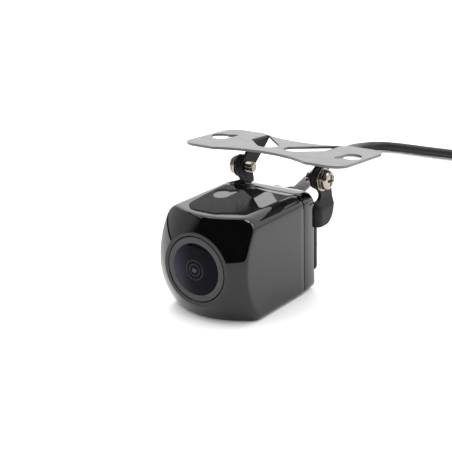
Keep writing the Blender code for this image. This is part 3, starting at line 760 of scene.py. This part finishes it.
def ear_edges():
    """Height, start and rear y of an ear; the start is measured along the bent sheet."""
    straight = BEND_LENGTH - BEND_CENTRE[1]
    step = EAR_STEP_Z
    edges = [(16.3, 0, 23.6), (16.45, 0, 24.4), (16.7, 0, 25.0), (17.1, 0, 25.65),
             (17.6, 0, 26.2), (18.2, 0, 26.6), (18.8, 0, 26.9), (19.6, 0, 27.15),
             (20.4, 0, 27.3), (21.2, 0, 27.5), (21.9, 0, 27.85), (step - 0.1, 0, 28.2),
             (step, 0.3, 28.25), (step + 0.1, 1.6, 28.3)]
    edges += [(step + rise, front + straight, rear) for rise, front, rear in (
        (0.25, 21.8, 28.35), (0.45, 22.3, 28.4), (0.7, 22.6, 28.4), (1.0, 22.8, 28.35),
        (1.5, 22.9, 28.25), (2.0, 22.75, 28.15), (2.5, 22.35, 28.05), (3.0, 21.95, 27.85),
        (3.6, 21.5, 27.55), (4.2, 21.1, 27.2), (4.8, 20.8, 26.9), (5.3, 20.6, 26.65))]
    for angle in (0, 8, 16, 24, 32, 40, 48, 56, 64, 72, 78, 83, 87):
        reach = EAR_LOBE_RADIUS * math.cos(math.radians(angle))
        height = PIVOT[2] + EAR_LOBE_RADIUS * math.sin(math.radians(angle))
        edges.append((height, PIVOT[1] - reach + straight, PIVOT[1] + reach))
    return edges


def make_yoke(looks):
    half = [(11.4, 4.7), (12.4, 4.9), (12.8, 5.7), (12.8, 16.1), (12.3, 16.4), (12.3, 21.6),
            (11.9, 22.6), (9.0, 23.6), (4.7, 23.6)]
    notch = arc((0, OUTLET_Z), 4.7, 0, -180, 24)
    outline = half + notch + [(-x, z) for x, z in reversed(half)]
    outline = rounded(outline, 0.5, 2, closed=True)
    stand = Matrix.Translation((0, YOKE_MID_Y * MM, 0)) @ Matrix.Rotation(math.pi / 2, 4, "X")
    edge = 0.12
    sheet("yoke_base", [outline], YOKE_SHEET, edge, stand, looks["yoke"], "camera", ("yoke",),
          looks["plate"])
    face, slim, columns = YOKE_SHEET / 2, YOKE_SHEET / 2 - edge, 19
    for side, word in ((-1, "left"), (1, "right")):
        rings = []
        for height, start, rear in ear_edges():
            inwards = EAR_SHIFT * eased(clamped((height - EAR_SHIFT_Z) / EAR_SHIFT_RISE))
            end = rear - BEND_CENTRE[1] + BEND_LENGTH
            line = [start + 0.15 + (end - start - 0.3) * (column / columns) ** 2
                    for column in range(columns + 1)]
            spots = [(along, face) for along in line] + [(end, slim), (end, -slim)]
            spots += [(along, -face) for along in reversed(line)] + [(start, -slim), (start, slim)]
            ring = [ear_point(along, offset, height) for along, offset in spots]
            rings.append([(side * (x - inwards), y, height) for x, y in ring])
        piece(f"yoke_ear_{word}", loft(rings), looks["yoke"], "camera", (),
              sharp=50)


def pan_screw(radius, height, thread):
    """Profile of a pan-head screw along its axis, the head's top at zero.

    Thread is the shank's radius, the place of its tip and the pitch of its grooves.
    """
    head = [(0, 0), (radius * 0.45, -0.02), (radius * 0.75, -height * 0.16),
            (radius * 0.93, -height * 0.4), (radius, -height * 0.68), (radius, -height + 0.08),
            (radius - 0.08, -height)]
    shank, tip, pitch = thread
    profile = head + [(shank, -height)]
    y = -height - 0.1
    while y > tip + pitch:
        profile += [(shank, y), (shank - 0.22, y - pitch * 0.5)]
        y -= pitch
    return profile + [(shank, tip + 0.25), (shank - 0.35, tip), (0, tip)]


def cut_away(item, cutters, name):
    """Cut each cutter's solid out of a piece."""
    tools = [solid_object(f"{name}_{index}", bm) for index, bm in enumerate(cutters)]
    for tool in tools:
        modifier = item.modifiers.new("cut", "BOOLEAN")
        modifier.operation = "DIFFERENCE"
        modifier.solver = "EXACT"
        modifier.object = tool
    bake_modifiers(item)
    for tool in tools:
        bpy.data.objects.remove(tool, do_unlink=True)


def blade(point_at, long, thin, deep):
    """A tapered blade from above a face down to its depth; point_at gives its place."""
    rings = []
    for height, size in ((0.6, 1.0), (-deep, 0.62)):
        ring = [(long * size, thin), (-long * size, thin), (-long * size, -thin),
                (long * size, -thin)]
        rings.append([point_at(u, v, height) for u, v in ring])
    return loft(rings)


def cross_blades(point_at, long, thin, deep):
    """Two blades at right angles."""
    return [blade(point_at, long, thin, deep),
            blade(lambda u, v, height: point_at(v, u, height), long, thin, deep)]


def make_case_screws(looks):
    radius, head = CASE_HEAD
    top = YOKE_REAR_Y + THIN_GAP + head
    pan = pan_screw(radius, head, (0.95, -11.6, 0.45))
    profile = [(reach, top + along) for reach, along in pan]
    for index, (side, rise) in enumerate(((-1, 1), (1, 1), (-1, -1), (1, -1))):
        x, z = side * SCREW_X, MID_Z + rise * SCREW_RISE
        screw = piece(f"case_fixing_{index + 1}", lathe(profile, "y", (x, z), 40),
                      looks["black_screw"], "camera", (f"case_screw_{index + 1}",))

        def at(u, v, height):
            return (x + u, top + height, z + v)
        cut_away(screw, cross_blades(at, 1.15, 0.2, 0.7), f"recess_{index}")
        settle(screw, looks["black_screw"], "camera")


# ---------------- plate and pivots

TILTED = (Matrix.Translation(Vector(PIVOT) * MM)
          @ Matrix.Rotation(-math.radians(PLATE_TILT), 4, "X"))
PLATE_MID = 6.29                # height of the plate's middle above the pivot axis
PLATE_THICKNESS = 0.7
PLATE_HALF_LENGTH = 24.05
PLATE_CORNER = 4.2
PLATE_FRONT, PLATE_REAR = -11.2, 12.4
BEND_RADIUS = 0.6
TAB_MID_X = 10.85
TAB_HALF = 2.7
TAB_BEND_Y = 6.8
TAB_SLOPE = TAB_BEND_Y / PLATE_MID
KEYHOLE_PLACE = (20.2, 1.4)
KEYHOLE_RADIUS, KEYHOLE_STRETCH, KEYHOLE_SLANT = 2.3, 1.1, 122
SLOT_RADIUS, SLOT_REACH, SLOT_ANGLE = 1.1, 3.8, 54
WINDOW_LOBE = (4.11, 0)         # middle of the window's round end
QUARTER_BEND = math.pi / 2 * BEND_RADIUS
BEND_TO_PIVOT = PLATE_MID - BEND_RADIUS + QUARTER_BEND
WAIST_HALF_LENGTH, WAIST_DEPTH = 13.7, 3.9
WAIST_RADIUS = (WAIST_HALF_LENGTH ** 2 + WAIST_DEPTH ** 2) / (2 * WAIST_DEPTH)
WEB = 0.35                      # width left between a window and the plate's rear edge
WINDOW_REAR = PLATE_REAR - WAIST_DEPTH + WAIST_RADIUS - WEB


def plate_outline():
    front, rear, corner = PLATE_FRONT, PLATE_REAR, PLATE_CORNER
    depth, radius = WAIST_DEPTH, WAIST_RADIUS
    spread = math.degrees(math.asin(WAIST_HALF_LENGTH / radius))
    x = PLATE_HALF_LENGTH - corner
    points = arc((x, rear - corner), corner, 0, 90, 16)
    points += arc((0, rear - depth + radius), radius, -90 + spread, -90 - spread, 48)
    points += arc((-x, rear - corner), corner, 90, 180, 16)
    points += arc((-x, front + corner), corner, 180, 270, 16)
    points += arc((0, front + depth - radius), radius, 90 + spread, 90 - spread, 48)
    points += arc((x, front + corner), corner, 270, 360, 16)
    return points


def keyhole(side):
    """A slanted round-ended hole with a narrow slot, turned half round on the other side."""
    centre = Vector((side * KEYHOLE_PLACE[0], KEYHOLE_PLACE[1]))
    turn = 0 if side < 0 else 180
    slant = KEYHOLE_SLANT + turn
    stretch, reach = (Vector((math.cos(math.radians(angle)), math.sin(math.radians(angle)))) * size
                      for angle, size in ((slant, KEYHOLE_STRETCH), (SLOT_ANGLE + turn, SLOT_REACH)))
    hole = arc(centre + stretch, KEYHOLE_RADIUS, slant - 60, slant + 90, 20)
    hole += arc(centre - stretch, KEYHOLE_RADIUS, slant + 90, slant + 250, 20)
    slot = arc(centre + reach, SLOT_RADIUS, slant - 150, slant + 10, 16)
    return rounded(hole + slot, 0.25, 2, closed=True)


def window(side):
    """Opening left by a tab: a slanted strip with a round end, cut on its bend line."""
    bend = TAB_MID_X + BEND_RADIUS
    lobe = Vector(WINDOW_LOBE)
    way = (Vector((TAB_MID_X + 0.1, TAB_BEND_Y)) - lobe).normalized()
    across = Vector((-way.y, way.x))
    half = TAB_HALF + 0.15
    heading = math.degrees(math.atan2(way.y, way.x))
    points = arc(lobe, half, heading + 90, heading + 270, 32)
    front = lobe - across * half
    points.append(tuple(front + way * ((bend - front.x) / way.x)))
    rear = lobe + across * half
    for step in range(7):
        x = bend - 0.97 * step / 6
        points.append((x, min(WINDOW_REAR - math.sqrt(WAIST_RADIUS ** 2 - x ** 2),
                              rear.y + (x - rear.x) * way.y / way.x)))
    return [(side * x, y) for x, y in points]


def tab_edges(drop):
    """Front and rear y of the tab at a distance measured along the sheet from its bend."""
    beyond = drop - BEND_TO_PIVOT
    middle = -TAB_SLOPE * beyond
    half = TAB_HALF * math.sqrt(1 + TAB_SLOPE ** 2)
    round_half = math.sqrt(max(TAB_HALF ** 2 - beyond ** 2, 0))
    tangent = TAB_HALF * TAB_SLOPE / math.sqrt(1 + TAB_SLOPE ** 2)
    high = middle + half if beyond <= tangent else round_half
    low = middle - half if beyond <= -tangent else -round_half
    return low, high


def make_tab(side, word, looks):
    reach = BEND_TO_PIVOT + TAB_HALF
    quarter = QUARTER_BEND
    rear_limit = 10.75
    drops = [quarter * index / 8 for index in range(8)]
    drops += [quarter + (reach - quarter) * math.sin(math.pi / 2 * index / 40)
              for index in range(40)]
    drops.append(reach - 0.004)
    columns = 12
    bm = bmesh.new()
    rows = []
    for drop in drops:
        if drop < quarter:
            angle = drop / BEND_RADIUS
            x = TAB_MID_X + BEND_RADIUS * (1 - math.sin(angle))
            z = PLATE_MID - BEND_RADIUS * (1 - math.cos(angle))
        else:
            x, z = TAB_MID_X, PLATE_MID - BEND_RADIUS - (drop - quarter)
        low, high = tab_edges(drop)
        high = min(high, rear_limit)
        rows.append([bm.verts.new((side * x, low + (high - low) * column / columns, z))
                     for column in range(columns + 1)])
    for upper, lower in zip(rows, rows[1:]):
        for column in range(columns):
            bm.faces.new((upper[column], upper[column + 1], lower[column + 1], lower[column]))
    move_to(bm, TILTED)
    tab = piece(f"plate_tab_{word}", bm, looks["yoke"], "plate", (), sharp=50)
    solid = tab.modifiers.new("thickness", "SOLIDIFY")
    solid.thickness = PLATE_THICKNESS * MM
    solid.offset = 0
    edge = tab.modifiers.new("edges", "BEVEL")
    edge.width = 0.1 * MM
    edge.segments = 2
    edge.limit_method = "ANGLE"
    edge.angle_limit = math.radians(50)
    bake_modifiers(tab)
    settle(tab, looks["yoke"], "plate", (), sharp=40)


def make_plate(looks):
    raised = TILTED @ Matrix.Translation((0, 0, PLATE_MID * MM))
    outlines = [plate_outline(), keyhole(-1), keyhole(1), window(-1), window(1)]
    # Painted shade: the plate's edges take the darker edge finish.
    sheet("plate_sheet", outlines, PLATE_THICKNESS, 0.1, raised, looks["plate"], "plate",
          ("mounting_plate",), looks["painted_shade_edge"])
    for side, word in ((-1, "left"), (1, "right")):
        make_tab(side, word, looks)


def make_pivots(looks):
    """Screw and washers on each side; they start at these distances from the middle."""
    friction, flat, hole = 11.3, 12.7, 1.65
    split = flat + 0.35 + THIN_GAP
    radius, height = PIVOT_HEAD
    top = split + 0.5 + THIN_GAP + height
    pan = pan_screw(radius, height, (1.4, 8.2 - top, 0.5))
    for side, word in ((-1, "left"), (1, "right")):
        def turned(name, profile, finish, node):
            bm = lathe([(reach, side * along) for reach, along in profile], "x", (0, 0), 72)
            move_to(bm, TILTED)
            return piece(f"{name}_{word}", bm, looks[finish], "plate", (f"{node}_{word}",))
        turned("friction_ring", washer_of(hole, 2.9, friction, friction + 0.2, 0.05), "rubber",
               "friction_washer")
        turned("flat_ring", washer_of(hole, 3.0, flat, flat + 0.35), "nickel", "flat_washer")
        ring = turned("spring_ring", washer_of(hole, 2.6, split, split + 0.5), "nickel",
                      "split_washer")
        screw = turned("pivot_fixing", [(reach, top + along) for reach, along in pan], "nickel",
                       "pivot_screw")

        def spot(along, v, w):
            place = TILTED @ (Vector((side * along, v, w)) * MM)
            return place / MM

        def at(u, v, height):
            return spot(top + height, u, v)
        cut_away(screw, cross_blades(at, 1.75, 0.34, 1.0), f"cross_{word}")
        settle(screw, looks["nickel"], "plate")

        def slit(u, v, height):
            return spot(split + 0.25 + height, 0.1 + v + u * 0.12, 2.2 + u)
        cut_away(ring, [blade(slit, 1.3, 0.16, 0.6)], f"slit_{word}")
        settle(ring, looks["nickel"], "plate")


def make_boot(looks):
    profile = [(0, 18.3), (4.2, 18.3), (4.2, 22.2), (3.8, 22.7), (3.0, 22.9), (2.9, 23.6),
               (2.6, 23.75), (2.55, 24.2), (2.8, 24.35), (2.7, 25.1), (2.45, 25.25), (2.4, 25.7),
               (2.6, 25.85), (2.5, 26.6), (2.25, 26.75), (2.2, 27.2), (2.35, 27.35),
               (2.25, 28.2), (2.0, 29.4), (1.85, 30.0), (0, 30.0)]
    piece("strain_relief", lathe(rounded(profile, 0.12, 3), "y", (0, OUTLET_Z), 72),
          looks["rubber"], "camera", ("cable_boot",))


def finish_inner_nodes(looks):
    """The pieces inside keep their CAD shape and get the finish of what they are."""
    kinds = {
        "board": ("sensor_board", "main_board"),
        "gold": ("board_spacer_1", "board_spacer_2", "board_spacer_3"),
        "nylon": ("board_socket",),
        "rubber": ("bezel_seal", "cover_seal"),
        "jacket": ("inner_lead",),
        "plastic": ("front_element", "lens_barrel", "element_lock_ring", "lens_holder",
                    "image_sensor", "middle_element", "rear_element"),
    }
    for finish, nodes in kinds.items():
        for node in nodes:
            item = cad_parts[node]
            for index in range(len(item.material_slots)):
                item.material_slots[index].link = "DATA"
                item.data.materials[index] = looks[finish]


# ---------------- studio

def sky_patch(name, limits, radiance, distance):
    """A curved panel round the object that only reflections see.

    Each limit is an elevation with the azimuths of the panel's left and right end there, in
    degrees. Azimuth 0 is in front of the lens and 90 is to the right. Radiance is a number, or a
    function of azimuth and elevation.
    """
    columns = 48
    bm = bmesh.new()
    layer = bm.verts.layers.float.new("radiance")
    grid = []
    for elevation, left, right in limits:
        line = []
        for column in range(columns + 1):
            azimuth = left + (right - left) * column / columns
            flat = distance * math.cos(math.radians(elevation))
            vertex = bm.verts.new((flat * math.sin(math.radians(azimuth)),
                                   -flat * math.cos(math.radians(azimuth)),
                                   distance * math.sin(math.radians(elevation))))
            vertex[layer] = radiance(azimuth, elevation) if callable(radiance) else radiance
            line.append(vertex)
        grid.append(line)
    for low, high in zip(grid, grid[1:]):
        for column in range(columns):
            bm.faces.new((low[column], low[column + 1], high[column + 1], high[column]))
    mesh = mesh_of(name, bm)
    mesh.shade_smooth()
    material = bpy.data.materials.new(name)
    material.use_nodes = True
    tree = material.node_tree
    tree.nodes.clear()
    level = add_node(tree, "ShaderNodeAttribute", attribute_name="radiance")
    glow = add_node(tree, "ShaderNodeEmission")
    set_inputs(glow, Color=(1, 1, 1, 1))
    connect(tree, level.outputs["Fac"], glow.inputs["Strength"])
    out = add_node(tree, "ShaderNodeOutputMaterial")
    connect(tree, glow.outputs["Emission"], out.inputs["Surface"])
    mesh.materials.append(material)
    panel = new_object(name, mesh)
    for ray in ("camera", "diffuse", "shadow", "transmission"):
        setattr(panel, f"visible_{ray}", False)


def make_studio():
    bpy.context.scene.view_settings.view_transform = "Standard"
    world = bpy.data.worlds.new("studio")
    bpy.context.scene.world = world
    world.use_nodes = True
    tree = world.node_tree
    background = tree.nodes["Background"]
    set_inputs(background, Color=(1, 1, 1, 1))
    where = add_node(tree, "ShaderNodeTexCoord")
    towards = add_node(tree, "ShaderNodeVectorMath", operation="DOT_PRODUCT")
    towards.inputs[1].default_value = BRIGHT_SIDE
    connect(tree, where.outputs["Generated"], towards.inputs[0])
    connect(tree, remap(tree, towards.outputs["Value"], FRONT_LIGHT, WORLD_STRENGTH, -0.8, 0.1),
            background.inputs["Strength"])
    bm = bmesh.new()
    size = 6.0
    corners = ((-size, -size, 0), (size, -size, 0), (size, size, 0), (-size, size, 0))
    bm.faces.new([bm.verts.new(corner) for corner in corners])
    floor = new_object("floor", mesh_of("floor", bm))
    floor.data.materials.append(finish_material("floor", (0.93, 0.93, 0.93), 0.6, grain=2.0,
                                                bump=0.02, tone=0.01, patch=60))
    make_reflections()


def sheen(azimuth, elevation):
    """Brightest behind the object, dimmer in front of it and close to the floor."""
    depth = -math.cos(math.radians(azimuth)) * math.cos(math.radians(elevation))
    part = clamped((depth + 0.8) / 0.9)
    rise = clamped((elevation - 2) / 12)
    return (FRONT_SHEEN + (BACK_SHEEN - FRONT_SHEEN) * part) * (0.6 + 0.4 * rise)


def fading(azimuth, elevation):
    """Bright at the left, fading out to the front."""
    return 0.8 * eased(clamped((-38 - azimuth) / 24))


def make_reflections():
    """What the gloss reflects: a dome, two dark cards before it and small bright panels."""
    dome = tuple((elevation, -180, 180) for elevation in (0.0, 2, 5, 8, 11, 14, 30, 45, 60, 75, 90))
    sky_patch("dome", dome, sheen, 1.7)
    flag = ((0.5, 18, 66), (4, 2, 76), (8, -10, 84), (14, -24, 90), (22, -38, 93), (35, -40, 93),
            (45, -48, 93), (55, -60, 93), (65, -72, 95), (74, -84, 98), (82, -90, 100))
    sky_patch("flag_front", flag, 0.0, 1.4)
    frame_left = tuple((elevation, -109, -38) for elevation in (0.2, 15, 30, 45))
    sky_patch("frame_left", frame_left, 0.0, 1.5)
    panel = tuple((elevation, -106, -38) for elevation in (2.5, 15, 30, 41))
    sky_patch("panel_left", panel, fading, 1.45)
    for name, azimuth, elevation, width, height, glow in HIGHLIGHTS:
        limits = tuple((elevation + height * step / 6, azimuth - width / 2, azimuth + width / 2)
                       for step in range(-3, 4))
        sky_patch(name, limits, glow, 1.3)


def main():
    make_camera()
    looks = make_finishes()
    cable, length = make_cable(looks)
    on_cable = make_tie(looks) + make_plug(looks)
    make_housing(looks)
    make_lens(looks)
    make_yoke(looks)
    make_case_screws(looks)
    make_plate(looks)
    make_pivots(looks)
    make_boot(looks)
    finish_inner_nodes(looks)
    make_studio()


main()
